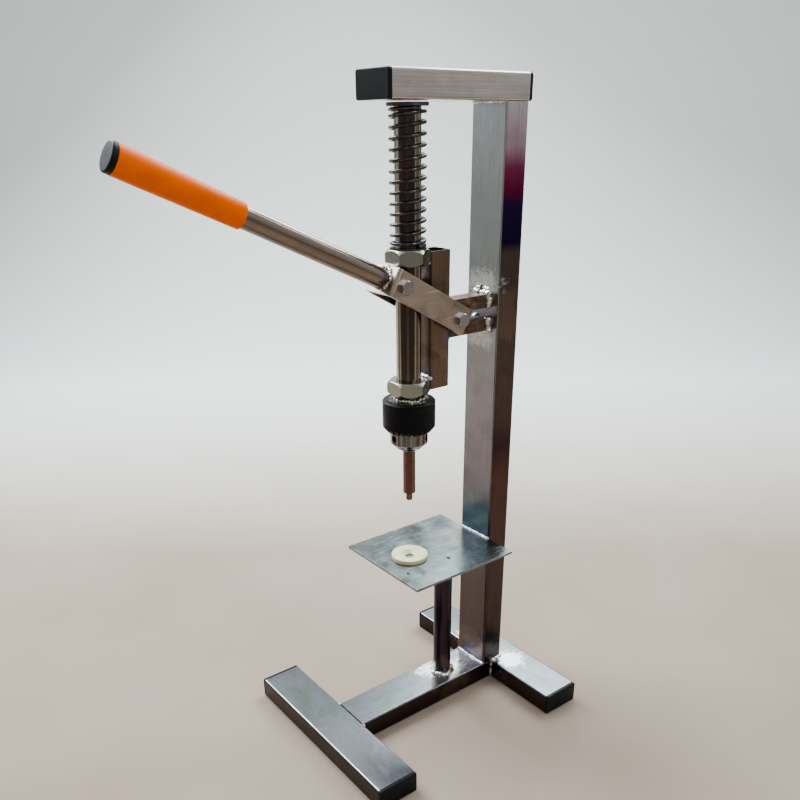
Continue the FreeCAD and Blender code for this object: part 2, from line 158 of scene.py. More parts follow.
def remap(tree, value, a, b, to_a, to_b):
    node = add(tree, "ShaderNodeMapRange", {"Value": value, "From Min": a, "From Max": b,
                                            "To Min": to_a, "To Max": to_b})
    return node.outputs["Result"]


def compute(tree, operation, a, b=0.0):
    node = add(tree, "ShaderNodeMath", {0: a, 1: b}, operation=operation)
    return node.outputs["Value"]


def ramp(tree, fac, stops):
    """A colour ramp from (place, colour) pairs."""
    node = add(tree, "ShaderNodeValToRGB", {"Fac": fac})
    elements = node.color_ramp.elements
    while len(elements) > 1:
        elements.remove(elements[-1])
    elements[0].position, elements[0].color = stops[0][0], (*stops[0][1], 1)
    for place, colour in stops[1:]:
        elements.new(place).color = (*colour, 1)
    return node.outputs["Color"]


def blend(tree, fac, a, b, kind="MIX"):
    """Mixes two colours; each is a socket or an RGB triple."""
    node = add(tree, "ShaderNodeMix", data_type="RGBA", blend_type=kind)
    for key, value in ((0, fac), (6, a), (7, b)):
        if isinstance(value, bpy.types.NodeSocket):
            tree.links.new(value, node.inputs[key])
        elif key:
            node.inputs[key].default_value = (*value, 1)
        else:
            node.inputs[key].default_value = value
    return node.outputs[2]


def relief(tree, shader, height, strength, depth):
    """Bump from a height between 0 and 1; depth is in metres."""
    node = add(tree, "ShaderNodeBump", {"Height": height, "Strength": strength, "Distance": depth})
    tree.links.new(node.outputs["Normal"], shader.inputs["Normal"])


def join(tree, socket, shader, name):
    tree.links.new(socket, shader.inputs[name])


print("material helpers ready")

# %% [markdown]
# ## Polished tube
# Stainless tube is drawn and belt polished along its length, so its grain is very long and very
# fine. Handling leaves soft smears that change the gloss more than the colour. Some faces are
# painted pale and bluish and others brown: these are painted reflections fixed to the metal. Near
# a weld the steel keeps temper colours, straw furthest away, then bronze, violet and blue, and
# where the welder ran a brush over the seam there is a ragged bright patch.

# %% Steel with grain, film, heat colours and brushed patches
TEMPER = [(0.00, (0.24, 0.24, 0.27)), (0.25, (0.20, 0.24, 0.34)), (0.42, (0.30, 0.23, 0.36)),
          (0.60, (0.42, 0.29, 0.20)), (0.80, (0.55, 0.44, 0.31))]
BRUSHED = (0.80, 0.86, 0.88)


def distance_to(tree, where, place):
    node = add(tree, "ShaderNodeVectorMath", {0: where, 1: tuple(place)}, operation="DISTANCE")
    return node.outputs["Value"]


def heat_tint(tree, base, welds, patches=()):
    """Temper colours and brushed patches around points: (place, reach in metres, strength)."""
    where = coords(tree)
    broken = noise(tree, where, 38.0, 5.0, 0.6)
    for place, reach, strength in welds:
        ragged = compute(tree, "ADD", distance_to(tree, where, place),
                         remap(tree, broken, 0.3, 0.7, -0.35 * reach, 0.35 * reach))
        near = remap(tree, ragged, 0.0, reach, 0.0, 1.0)
        colour = ramp(tree, near, TEMPER + [(1.0, (0.60, 0.55, 0.48))])
        base = blend(tree, remap(tree, near, 0.35, 1.0, strength * 0.6, 0.0), base, colour)
    if patches:
        strokes = noise(tree, coords(tree, (260, 120, 260), (0.2, 0.3, 0.5)), 1.0, 4.0, 0.7)
    for place, reach, strength in patches:
        ragged = compute(tree, "ADD", distance_to(tree, where, place),
                         remap(tree, strokes, 0.3, 0.7, -0.5 * reach, 0.5 * reach))
        base = blend(tree, remap(tree, ragged, 0.45 * reach, 0.95 * reach, strength, 0.0), base,
                     BRUSHED)
    return base


def face_mask(tree, axis, centre, half):
    """1 on the two faces of a tube that look along an axis, 0 on the others."""
    split = add(tree, "ShaderNodeSeparateXYZ", {"Vector": coords(tree)})
    off = compute(tree, "ABSOLUTE", compute(tree, "SUBTRACT", split.outputs[axis], centre))
    return remap(tree, off, half - 0.0012, half - 0.0003, 0.0, 1.0)


def along(tree, axis, a, b):
    """0 at place a and 1 at place b along an axis."""
    split = add(tree, "ShaderNodeSeparateXYZ", {"Vector": coords(tree)})
    return remap(tree, split.outputs[axis], a, b, 0.0, 1.0)


def grain_steel(name, colour, gloss, grain, welds=(), streak=0.30, scuff=0.5, film_and_reflection=None,
                patches=()):
    """Steel with a fine grain over a colour function: mill scale, or painted reflections."""
    material, tree, shader = start(name, metallic=1.0)
    lines = noise(tree, coords(tree, grain), 1.0, 3.0, 0.6)
    smear = noise(tree, coords(tree), 26.0, 5.0, 0.62, 0.6)
    spots = noise(tree, coords(tree), 420.0, 2.0, 0.7)
    base = film_and_reflection(tree) if film_and_reflection else colour
    if not film_and_reflection:
        base = ramp(tree, smear, [(0.2, tuple(c * 0.94 for c in colour)), (0.8, colour)])
    shade = ramp(tree, lines, [(0.30, (1 - streak,) * 3), (0.62, (0.94,) * 3), (0.80, (1.0,) * 3)])
    base = blend(tree, 1.0, base, shade, "MULTIPLY")
    stain = remap(tree, smear, 0.42, 0.75, 0.0, 0.5)
    base = blend(tree, stain, base, blend(tree, 1.0, base, (0.62, 0.60, 0.60), "MULTIPLY"))
    join(tree, heat_tint(tree, base, welds, patches), shader, "Base Color")
    rough = compute(tree, "ADD", remap(tree, smear, 0.30, 0.72, gloss, gloss + 0.16 * scuff),
                    remap(tree, lines, 0.3, 0.7, 0.06, 0.0))
    join(tree, compute(tree, "ADD", rough, remap(tree, spots, 0.66, 0.8, 0.0, 0.18 * scuff)),
         shader, "Roughness")
    relief(tree, shader, lines, 0.16, 0.00012)
    return material


def paint(material, *names):
    """Gives a part's object this material on every slot."""
    for name in names:
        slots = nodes[name].data.materials
        slots.clear()
        slots.append(material)
        for face in nodes[name].data.polygons:
            face.material_index = 0
    print(material.name, "on", ", ".join(names))


GRAIN_X = (14, 1500, 1500)
GRAIN_Y = (1500, 14, 1500)
GRAIN_Z = (1500, 1500, 14)
BRACKET_MID = (high("bracket_bar_upper").z + low("bracket_bar_lower").z) / 2
BRACKET_TOP = high("bracket_bar_upper").z
BRACKET_FOOT = low("bracket_bar_lower").z
COLUMN_MID = (COLUMN_FRONT + COLUMN_BACK) / 2

# %% [markdown]
# ## Painted reflections on the tubes
# The column's front and back are painted pale at the top, turning brown towards the floor, and its
# sides are painted dark: all painted reflections fixed to the metal. The right side also carries a
# painted crimson and navy reflection band below the arm, and pales above it. The base tubes are
# painted pale on top and brown on their sides, also painted reflections.


# %% Painted reflections
# Painted reflections on the column: pale high, brown low, a crimson and navy band on the +X side.
def painted_column_reflections(tree):
    height = along(tree, 2, RAIL_TOP, ARM_UNDER)
    front = ramp(tree, height, [(0.00, (0.14, 0.11, 0.11)), (0.255, (0.18, 0.15, 0.155)),
                                (0.285, (0.16, 0.23, 0.27)), (0.34, (0.24, 0.28, 0.31)),
                                (0.40, (0.29, 0.275, 0.31)), (0.58, (0.40, 0.40, 0.44)),
                                (0.70, (0.50, 0.55, 0.58)), (0.80, (0.56, 0.63, 0.65)),
                                (1.00, (0.58, 0.64, 0.66))])
    side = ramp(tree, height, [(0.00, (0.085, 0.060, 0.056)), (0.25, (0.125, 0.090, 0.085)),
                               (0.40, (0.15, 0.088, 0.074)), (0.46, (0.075, 0.050, 0.056)),
                               (0.52, (0.15, 0.112, 0.10)), (0.72, (0.18, 0.15, 0.137)),
                               (0.785, (0.165, 0.14, 0.128)), (0.80, (0.028, 0.022, 0.085)),
                               (0.855, (0.045, 0.022, 0.11)), (0.88, (0.26, 0.025, 0.10)),
                               (0.91, (0.34, 0.07, 0.17)), (0.94, (0.58, 0.42, 0.52)),
                               (1.00, (0.68, 0.66, 0.68))])
    far_side = ramp(tree, height, [(0.00, (0.085, 0.060, 0.056)), (0.40, (0.15, 0.100, 0.086)),
                                   (0.72, (0.18, 0.15, 0.137)), (0.90, (0.24, 0.19, 0.20)),
                                   (1.00, (0.48, 0.46, 0.47))])
    sides = blend(tree, along(tree, 0, -MM, MM), far_side, side)
    return blend(tree, face_mask(tree, 1, COLUMN_MID, COLUMN_BACK - COLUMN_MID), sides, front)


# Painted reflections on the base tubes: pale mottled tops, dark brown sides.
def painted_base_reflections(tree):
    top = along(tree, 2, RAIL_TOP - 1.6 * MM, RAIL_TOP - 0.3 * MM)
    reflection_mottle = noise(tree, coords(tree), 14.0, 3.0, 0.5, 0.8)
    pale = ramp(tree, reflection_mottle, [(0.30, (0.27, 0.33, 0.30)), (0.45, (0.33, 0.37, 0.39)),
                               (0.60, (0.33, 0.32, 0.38)), (0.75, (0.44, 0.50, 0.51))])
    return blend(tree, top, (0.080, 0.058, 0.052), pale)


# %% [markdown]
# Each tube gets its own steel, with the grain along its length. The heat colours sit where its
# welds are, and the brushed patches where a wire brush reached.

# %% The column, arm and base tubes
COLUMN_PATCHES = [((x, COLUMN_FRONT, BRACKET_TOP + 9 * MM), 0.019, 0.8)
                  for x in (-0.012, -0.002, 0.008)]
COLUMN_PATCHES += [((x, COLUMN_FRONT, BRACKET_FOOT - 8 * MM), 0.015, 0.5) for x in (-0.012, 0.006)]
column_steel = grain_steel("column_steel", None, 0.15, GRAIN_Z,
                           [((0.0, COLUMN_FRONT, RAIL_TOP), 0.050, 0.5),
                            ((TUBE_HALF, COLUMN_MID, RAIL_TOP), 0.040, 0.5),
                            ((0.0, COLUMN_FRONT, BRACKET_MID), 0.040, 0.6)],
                           film_and_reflection=painted_column_reflections, patches=COLUMN_PATCHES)
paint(column_steel, "column_tube")
arm_steel = grain_steel("arm_steel", (0.68, 0.64, 0.62), 0.17, GRAIN_Y,
                        [((0.0, COLUMN_BACK, ARM_UNDER), 0.035, 0.4)])
paint(arm_steel, "arm_tube")
RAIL_FRONT = low("base_center_rail").y
RAIL_BACK = high("base_center_rail").y
FOOT_PATCHES = [((POST.x - 0.012, POST.y - 0.014, RAIL_TOP), 0.020, 0.75),
                ((POST.x + 0.004, POST.y + 0.018, RAIL_TOP), 0.018, 0.7),
                ((0.0, RAIL_BACK - 0.016, RAIL_TOP), 0.020, 0.6)]
rail_steel = grain_steel("rail_steel", None, 0.20, GRAIN_Y,
                         [((POST.x, POST.y, RAIL_TOP), 0.040, 0.6)], film_and_reflection=painted_base_reflections,
                         patches=FOOT_PATCHES)
paint(rail_steel, "base_center_rail")
CROSS_PATCHES = [((side * (TUBE_HALF + 0.014), RAIL_BACK + 0.022, RAIL_TOP), 0.022, 0.8)
                 for side in (-1, 1)]
cross_steel = grain_steel("cross_steel", None, 0.20, GRAIN_X,
                          [((TUBE_HALF, COLUMN_MID, RAIL_TOP), 0.040, 0.5)], film_and_reflection=painted_base_reflections,
                          patches=CROSS_PATCHES)
paint(cross_steel, "base_front_tube", "base_rear_tube")

# %% [markdown]
# ## Work plate
# The plate is sheared from sheet with a mill finish. Years of sliding work over it leave fine
# scratches in every direction, and the edge at the column is browned by its weld. Scratches are
# thin bands where each of four turned, stretched noises passes one level, which reads as random
# straight marks.


# %% Scratched sheet
def scratched_steel(name, colour, gloss, welds=()):
    material, tree, shader = start(name, metallic=1.0)
    mottled = noise(tree, coords(tree), 34.0, 6.0, 0.62, 0.4)
    base = ramp(tree, mottled, [(0.25, tuple(c * 0.62 for c in colour)), (0.5, colour),
                                (0.78, tuple(min(1, c * 1.15) for c in colour))])
    marks = None
    for turn, stretch in ((0.5, 900), (1.3, 700), (2.2, 1100), (2.9, 800)):
        field = noise(tree, coords(tree, (stretch, 22, stretch), (0, 0, turn)), 1.0, 2.0, 0.5)
        line = remap(tree, field, 0.68, 0.72, 0.0, 1.0)
        marks = line if marks is None else compute(tree, "MAXIMUM", marks, line)
    base = blend(tree, compute(tree, "MULTIPLY", marks, 0.4), base,
                 tuple(min(1, c * 1.8) for c in colour))
    base = heat_tint(tree, base, welds)
    join(tree, base, shader, "Base Color")
    rough = remap(tree, mottled, 0.3, 0.7, gloss, gloss + 0.14)
    join(tree, compute(tree, "ADD", rough, compute(tree, "MULTIPLY", marks, 0.12)), shader,
         "Roughness")
    relief(tree, shader, compute(tree, "SUBTRACT", 1.0, marks), 0.25, 0.00006)
    return material


plate_steel = scratched_steel("plate_steel", (0.24, 0.275, 0.285), 0.19,
                              [((0.0, COLUMN_FRONT, PLATE_TOP), 0.040, 0.7)])
post_steel = grain_steel("post_steel", (0.085, 0.065, 0.080), 0.13, GRAIN_Z,
                         [((POST.x, POST.y, RAIL_TOP), 0.034, 0.7),
                          ((POST.x, POST.y, PLATE_UNDER), 0.030, 0.6)])
paint(post_steel, "plate_post")


# %% [markdown]
# ## Softened edges
# Sheared and sawn parts are never razor sharp. A copy of the part is merged into one skin, its
# flat faces are joined, and a narrow bevel catches the light along each edge. The copy takes the
# part's place on the same body.

# %% A copy of a part with broken edges
SAME_POINT = 2e-6
SAME_PLANE = math.radians(0.6)
REAL_EDGE = math.radians(40)


def softened(node, width, material, segments=2):
    source = nodes[node]
    mesh = source.data.copy()
    work = bmesh.new()
    work.from_mesh(mesh)
    bmesh.ops.remove_doubles(work, verts=work.verts, dist=SAME_POINT)
    bmesh.ops.dissolve_limit(work, angle_limit=SAME_PLANE, verts=work.verts, edges=work.edges)
    work.to_mesh(mesh)
    work.free()
    mesh.materials.clear()
    mesh.materials.append(material)
    for face in mesh.polygons:
        face.material_index = 0
    piece = bpy.data.objects.new(node + "_finished", mesh)
    bpy.context.scene.collection.objects.link(piece)
    if mesh.has_custom_normals:
        mesh.attributes.remove(mesh.attributes["custom_normal"])
    bevel = piece.modifiers.new("broken edge", "BEVEL")
    bevel.width = width
    bevel.segments = segments
    bevel.limit_method = "ANGLE"
    bevel.angle_limit = REAL_EDGE
    piece.data.shade_smooth()
    piece.modifiers.new("flat faces", "WEIGHTED_NORMAL").weight = 100
    settle(piece)
    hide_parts(node)
    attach(piece, source["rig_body"])
    print(piece.name, len(piece.data.polygons), "faces")
    return piece


def settle(piece):
    """Applies the modifiers by taking the finished mesh, and removes them."""
    bpy.context.view_layer.update()
    graph = bpy.context.evaluated_depsgraph_get()
    mesh = bpy.data.meshes.new_from_object(piece.evaluated_get(graph), depsgraph=graph)
    piece.modifiers.clear()
    piece.data = mesh


# %% [markdown]
# The work plate keeps a thin edge, as sheared sheet does. The two bracket bars between the spine
# and the column are sawn flat bar with rounder edges, and still wear their mill scale, brown and
# blotchy with grey where it has flaked.

# %% Plate and brackets
softened("work_plate", 0.35 * MM, plate_steel)


def mill_scale(tree):
    patches = noise(tree, coords(tree), 150.0, 5.0, 0.7, 0.5)
    return ramp(tree, patches, [(0.30, (0.09, 0.065, 0.065)), (0.50, (0.24, 0.155, 0.11)),
                                (0.70, (0.34, 0.30, 0.30))])


bar_steel = grain_steel("bar_steel", None, 0.34, (400, 90, 400),
                        [((0.0, COLUMN_FRONT, BRACKET_MID), 0.030, 0.6)], streak=0.5, scuff=1.2,
                        film_and_reflection=mill_scale)
for bar in ("bracket_bar_upper", "bracket_bar_lower"):
    softened(bar, 0.8 * MM, bar_steel, 3)

# %% [markdown]
# ## Ram, guide nuts and spine
# The ram is turned bar, so its tool marks run round it. On a round part the marks come from the
# height alone: a noise squeezed along Z gives rings. The guide nuts are bright zinc with heat on
# the side where the spine was welded to them.


# %% Turned steel
def turned_steel(name, colour, gloss, welds=(), pitch=2600, depth=0.00003, streak=0.25, reflection_bands=0,
                 contrast=1.0):
    """Turned steel with rings, and painted reflections: light and dark bands, so many a metre."""
    material, tree, shader = start(name, metallic=1.0)
    rings = noise(tree, coords(tree, (3, 3, pitch)), 1.0, 3.0, 0.65)
    stains = noise(tree, coords(tree), 55.0, 5.0, 0.6, 0.5)
    wear = noise(tree, coords(tree, (90, 90, 9)), 1.0, 3.0, 0.6)
    dark = tuple(c * (1 - streak) for c in colour)
    base = ramp(tree, rings, [(0.30, dark), (0.66, colour)])
    base = blend(tree, remap(tree, stains, 0.50, 0.78, 0.0, 0.55), base,
                 tuple(c * 0.55 for c in colour))
    base = blend(tree, remap(tree, wear, 0.60, 0.72, 0.0, 0.30), base,
                 tuple(min(1, c * 1.4) for c in colour))
    # Painted reflections: light and dark bands along the bar, up to a near-white painted
    # highlight.
    if reflection_bands:
        bands = noise(tree, coords(tree, (reflection_bands, reflection_bands, 0.6), (0, 0, 0.4)), 1.0, 0.5, 0.5)
        base = blend(tree, contrast, base,
                     ramp(tree, bands, [(0.33, (0.16, 0.16, 0.19)), (0.41, (0.40, 0.34, 0.31)),
                                        (0.46, (0.60, 0.60, 0.53)), (0.525, (1.0, 1.0, 0.97)),
                                        (0.58, (0.52, 0.56, 0.46)), (0.68, (0.18, 0.15, 0.16))]),
                     "MULTIPLY")
    join(tree, heat_tint(tree, base, welds), shader, "Base Color")
    rough = compute(tree, "ADD", remap(tree, stains, 0.4, 0.8, gloss, gloss + 0.16),
                    remap(tree, rings, 0.3, 0.7, 0.05, 0.0))
    join(tree, rough, shader, "Roughness")
    relief(tree, shader, rings, 0.22, depth)
    return material


NUT_UPPER = middle("guide_nut_upper")
NUT_LOWER = middle("guide_nut_lower")
# The ram gets painted reflection bands along it.
ram_steel = turned_steel("ram_steel", (0.62, 0.58, 0.54), 0.09,
                         [((0.0, 0.0, low("ram_chuck_weld").z), 0.026, 0.85)], reflection_bands=135)
paint(ram_steel, "ram_shaft")
washer_steel = turned_steel("washer_steel", (0.14, 0.13, 0.14), 0.34)
paint(washer_steel, "ram_top_washer", "spring_seat_washer")
nut_steel = grain_steel("nut_steel", (0.46, 0.48, 0.43), 0.15, (260, 260, 900),
                        [((0.0, SPINE_FRONT, NUT_UPPER.z), 0.022, 0.8),
                         ((0.0, SPINE_FRONT, NUT_LOWER.z), 0.022, 0.9)], streak=0.2, scuff=0.6)
paint(nut_steel, "guide_nut_upper", "guide_nut_lower")
spine_steel = grain_steel("spine_steel", (0.22, 0.165, 0.13), 0.22, GRAIN_Z,
                          [((0.0, SPINE_FRONT, NUT_UPPER.z), 0.035, 0.6),
                           ((0.0, SPINE_FRONT, NUT_LOWER.z), 0.035, 0.6),
                           ((0.0, SPINE_BACK, BRACKET_MID), 0.040, 0.7)], streak=0.4, scuff=0.8)
paint(spine_steel, "guide_spine")
boss_steel = turned_steel("boss_steel", (0.42, 0.40, 0.38), 0.32)
paint(boss_steel, "ram_drive_boss")

# %% [markdown]
# ## Keyed chuck and pin
# The chuck's geared sleeve is black oxide, with a fine knurl and shallow grooves above it. The
# body below is ground bright and the pin is brown steel. Bright round steel gets painted
# reflections: light and dark bands along it, from a noise stretched along Z.


# %% Black oxide
KNURL_RIBS = 90.0          # ribs round the sleeve, each way
KNURL_CLIMB = 3200.0       # radians of rib in a metre of height
GROOVE_PITCH = 1.7 * MM


def black_oxide(name):
    """Oiled black finish with a soft knurl: two crossing sets of fine ribs round the sleeve."""
    material, tree, shader = start(name, metallic=0.0)
    grime = noise(tree, coords(tree), 90.0, 5.0, 0.6)
    split = add(tree, "ShaderNodeSeparateXYZ", {"Vector": coords(tree)})
    turn = compute(tree, "ARCTAN2", split.outputs["Y"], split.outputs["X"])
    around = compute(tree, "MULTIPLY", turn, KNURL_RIBS)
    rise = compute(tree, "MULTIPLY", split.outputs["Z"], KNURL_CLIMB)
    one = compute(tree, "SINE", compute(tree, "ADD", around, rise))
    two = compute(tree, "SINE", compute(tree, "SUBTRACT", around, rise))
    knurl = remap(tree, compute(tree, "MAXIMUM", one, two), 0.0, 1.0, 0.0, 1.0)
    level = compute(tree, "SUBTRACT", split.outputs["Z"], middle("chuck_sleeve").z)
    belt = compute(tree, "LESS_THAN",
                   compute(tree, "ABSOLUTE", compute(tree, "ADD", level, -0.5 * MM)), 6.5 * MM)
    grooved = compute(tree, "LESS_THAN",
                      compute(tree, "ABSOLUTE", compute(tree, "ADD", level, -11 * MM)), 2.6 * MM)
    grooves = compute(tree, "SINE", compute(tree, "MULTIPLY", level, 2 * math.pi / GROOVE_PITCH))
    ribs = compute(tree, "ADD", compute(tree, "MULTIPLY", knurl, belt),
                   compute(tree, "MULTIPLY", grooves, grooved))
    base = ramp(tree, grime, [(0.3, (0.0015, 0.0015, 0.003)), (0.7, (0.004, 0.004, 0.007))])
    shader.inputs["Specular IOR Level"].default_value = 0.24
    join(tree, base, shader, "Base Color")
    join(tree, remap(tree, grime, 0.3, 0.7, 0.34, 0.50), shader, "Roughness")
    relief(tree, shader, ribs, 0.6, 0.00025)
    return material


sleeve_black = black_oxide("sleeve_black")
paint(sleeve_black, "chuck_sleeve")
chuck_steel = turned_steel("chuck_steel", (0.38, 0.37, 0.38), 0.10, pitch=1500, reflection_bands=120)
paint(chuck_steel, "chuck_body", "chuck_nut_ring")
jaw_steel = turned_steel("jaw_steel", (0.30, 0.29, 0.28), 0.30, pitch=900)
paint(jaw_steel, "chuck_jaw_1", "chuck_jaw_2", "chuck_jaw_3")
pin_steel = turned_steel("pin_steel", (0.33, 0.20, 0.165), 0.18, pitch=1800, reflection_bands=240,
                         contrast=0.55)
paint(pin_steel, "tool_pin")

# %% [markdown]
# ## Plastics
# The tube caps are moulded polyethylene, dull with a faint pebble. The grip is a dipped vinyl
# sleeve: saturated orange, soft highlights, a fine orange peel and faint darker rubs. The anvil
# ring is turned nylon, slightly translucent.


# %% Caps, grip and nylon
def moulded(name, colour, rough, pebble, depth, rub=None, soft=0.0, peel=0.35):
    material, tree, shader = start(name, roughness=rough)
    tone = noise(tree, coords(tree), 60.0, 5.0, 0.6)
    grit = noise(tree, coords(tree), pebble, 3.0, 0.6)
    base = ramp(tree, tone, [(0.28, tuple(c * 0.82 for c in colour)), (0.72, colour)])
    if rub:
        patches = noise(tree, coords(tree), 95.0, 6.0, 0.72, 0.8)
        base = blend(tree, remap(tree, patches, 0.62, 0.74, 0.0, 0.5), base, rub)
    join(tree, base, shader, "Base Color")
    join(tree, remap(tree, tone, 0.3, 0.7, rough - 0.07, rough + 0.09), shader, "Roughness")
    if soft:
        shader.inputs["Subsurface Weight"].default_value = soft
        shader.inputs["Subsurface Radius"].default_value = (0.6, 0.45, 0.30)
        shader.inputs["Subsurface Scale"].default_value = 0.0015
    relief(tree, shader, grit, peel, depth)
    return material


cap_black = moulded("cap_black", (0.005, 0.006, 0.009), 0.44, 900.0, 0.00012,
                    rub=(0.02, 0.02, 0.022))
cap_black.node_tree.nodes["Principled BSDF"].inputs["Specular IOR Level"].default_value = 0.30
caps = [name for name in sorted(nodes) if name.startswith("cap_")]
paint(cap_black, *caps, "grip_end_plug")
grip_orange = moulded("grip_orange", (1.0, 0.185, 0.001), 0.48, 520.0, 0.00008,
                      rub=(0.90, 0.15, 0.003), soft=0.08)
grip_orange.node_tree.nodes["Principled BSDF"].inputs["Specular IOR Level"].default_value = 0.25
paint(grip_orange, "lever_grip")
nylon_cream = moulded("nylon_cream", (0.80, 0.78, 0.50), 0.40, 700.0, 0.00005,
                      rub=(0.70, 0.62, 0.42), soft=0.35)
paint(nylon_cream, "anvil_ring")

# %% [markdown]
# ## Lever, clevis and bolts
# The clevis is bent flat bar, bright and scratched. The lever tube is drawn tube that runs
# slantwise, so its grain is turned to follow it. The bolts are zinc plated.

# %% Lever finishes
grip_mid, web_mid = middle("lever_grip"), middle("lever_weld")
slope = math.atan2(grip_mid.z - web_mid.z, web_mid.y - grip_mid.y)


def slanted_steel(name, colour, gloss, welds):
    """Grain that follows the lever: coordinates are turned about X to lie along it."""
    material, tree, shader = start(name, metallic=1.0)
    lying = coords(tree, turn=(slope, 0, 0))
    grain = add(tree, "ShaderNodeVectorMath", {0: lying, 1: (1300, 14, 1300)},
                operation="MULTIPLY")
    lines = noise(tree, grain.outputs["Vector"], 1.0, 3.0, 0.6)
    smear = noise(tree, coords(tree), 40.0, 5.0, 0.62, 0.6)
    base = ramp(tree, lines, [(0.30, tuple(c * 0.7 for c in colour)), (0.66, colour)])
    base = blend(tree, remap(tree, smear, 0.45, 0.75, 0.0, 0.5), base,
                 tuple(c * 0.6 for c in colour))
    join(tree, heat_tint(tree, base, welds), shader, "Base Color")
    join(tree, remap(tree, smear, 0.3, 0.75, gloss, gloss + 0.16), shader, "Roughness")
    relief(tree, shader, lines, 0.16, 0.0001)
    return material


tube_steel = slanted_steel("lever_tube_steel", (0.33, 0.275, 0.235), 0.11,
                           [(tuple(web_mid), 0.034, 0.6)])
paint(tube_steel, "lever_tube")
clevis_steel = scratched_steel("clevis_steel", (0.44, 0.385, 0.335), 0.25,
                               [(tuple(web_mid), 0.020, 0.8)])
softened("lever_clevis", 0.5 * MM, clevis_steel, 3)
bolt_zinc = grain_steel("bolt_zinc", (0.50, 0.51, 0.53), 0.17, (700, 700, 700), streak=0.25,
                        scuff=0.5)
paint(bolt_zinc, "drive_bolt", "drive_bolt_nut", "pivot_bolt", "pivot_bolt_nut")

# %% [markdown]
# ## Return spring
# The spring is one wire following a rule, so it is grown from numbers: a row of points is wound
# into a helix whose pitch is small in the first and last turn, where a real spring is closed, and
# even between. The row becomes a curve and the curve gets a round section.


# %% The spring's sizes
spring_low, spring_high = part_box("return_spring")
COIL_OUTER = (spring_high.x - spring_low.x) / 2
WIRE = 1.6 * MM            # wire radius
OPEN_TURNS = 12.0
CLOSED_GAP = 1.04          # rise of a closed turn, in wire thicknesses
SPRING_LENGTH = spring_high.z - spring_low.z
print("spring", round(SPRING_LENGTH, 4), "long,", OPEN_TURNS, "open turns")


# %% Helpers that grow a mesh from a node tree
def set_inputs(modifier, values):
    """Sets a node modifier's inputs through each socket's identifier."""
    for item in modifier.node_group.interface.items_tree:
        if item.in_out == "INPUT" and item.name in values:
            modifier[item.identifier] = values[item.name]


def grow(name, tree, values):
    """Runs a node tree on an empty mesh and keeps the plain mesh it makes."""
    piece = bpy.data.objects.new(name, bpy.data.meshes.new(name))
    bpy.context.scene.collection.objects.link(piece)
    modifier = piece.modifiers.new("grown", "NODES")
    modifier.node_group = tree
    set_inputs(modifier, values)
    settle(piece)
    print(name, len(piece.data.polygons), "faces")
    return piece


def new_tree(name, sizes):
    """A geometry tree with named inputs; returns it with its input and output nodes."""
    tree = bpy.data.node_groups.new(name, "GeometryNodeTree")
    tree.interface.new_socket("Geometry", in_out="OUTPUT", socket_type="NodeSocketGeometry")
    for size, kind, value in sizes:
        socket = tree.interface.new_socket(size, in_out="INPUT", socket_type=kind)
        socket.default_value = value
    return tree, tree.nodes.new("NodeGroupInput"), tree.nodes.new("NodeGroupOutput")


# %% The spring as a node tree
def spring_tree(material):
    tree, given, result = new_tree("wound spring", [
        ("Coil Radius", "NodeSocketFloat", 0.016), ("Wire Radius", "NodeSocketFloat", 0.0014),
        ("Height", "NodeSocketFloat", 0.12), ("Open Turns", "NodeSocketFloat", 14.0),
        ("Points", "NodeSocketInt", 800)])
    ins = given.outputs
    turns = compute(tree, "ADD", ins["Open Turns"], 2.0)
    line = add(tree, "GeometryNodeMeshLine", {"Count": ins["Points"]})
    index = tree.nodes.new("GeometryNodeInputIndex").outputs[0]
    last = compute(tree, "SUBTRACT", ins["Points"], 1.0)
    turn = compute(tree, "MULTIPLY", compute(tree, "DIVIDE", index, last), turns)
    angle = compute(tree, "MULTIPLY", turn, 2 * math.pi)
    wire = compute(tree, "MULTIPLY", ins["Wire Radius"], 2.0)
    closed = compute(tree, "MULTIPLY", wire, CLOSED_GAP)
    rest = compute(tree, "SUBTRACT", compute(tree, "SUBTRACT", ins["Height"], wire),
                   compute(tree, "MULTIPLY", closed, 2.0))
    pitch = compute(tree, "DIVIDE", rest, ins["Open Turns"])
    first = compute(tree, "MULTIPLY", compute(tree, "MINIMUM", turn, 1.0), closed)
    after = compute(tree, "MAXIMUM", compute(tree, "SUBTRACT", turn, 1.0), 0.0)
    middle_turns = compute(tree, "MULTIPLY", compute(tree, "MINIMUM", after, ins["Open Turns"]),
                           pitch)
    tail = compute(tree, "MAXIMUM", compute(tree, "SUBTRACT", after, ins["Open Turns"]), 0.0)
    z = compute(tree, "ADD", first,
                compute(tree, "ADD", middle_turns, compute(tree, "MULTIPLY", tail, closed)))
    x = compute(tree, "MULTIPLY", compute(tree, "COSINE", angle), ins["Coil Radius"])
    y = compute(tree, "MULTIPLY", compute(tree, "SINE", angle), ins["Coil Radius"])
    place = add(tree, "ShaderNodeCombineXYZ",
                {"X": x, "Y": y, "Z": compute(tree, "ADD", z, ins["Wire Radius"])})
    wound = add(tree, "GeometryNodeSetPosition",
                {"Geometry": line.outputs[0], "Position": place.outputs[0]})
    curve = add(tree, "GeometryNodeMeshToCurve", {"Mesh": wound.outputs[0]})
    ring = add(tree, "GeometryNodeCurvePrimitiveCircle",
               {"Resolution": 14, "Radius": ins["Wire Radius"]})
    swept = add(tree, "GeometryNodeCurveToMesh",
                {"Curve": curve.outputs[0], "Profile Curve": ring.outputs[0], "Fill Caps": True})
    real = add(tree, "GeometryNodeRealizeInstances", {"Geometry": swept.outputs[0]})
    coated = add(tree, "GeometryNodeSetMaterial",
                 {"Geometry": real.outputs[0], "Material": material})
    tree.links.new(coated.outputs[0], result.inputs[0])
    return tree


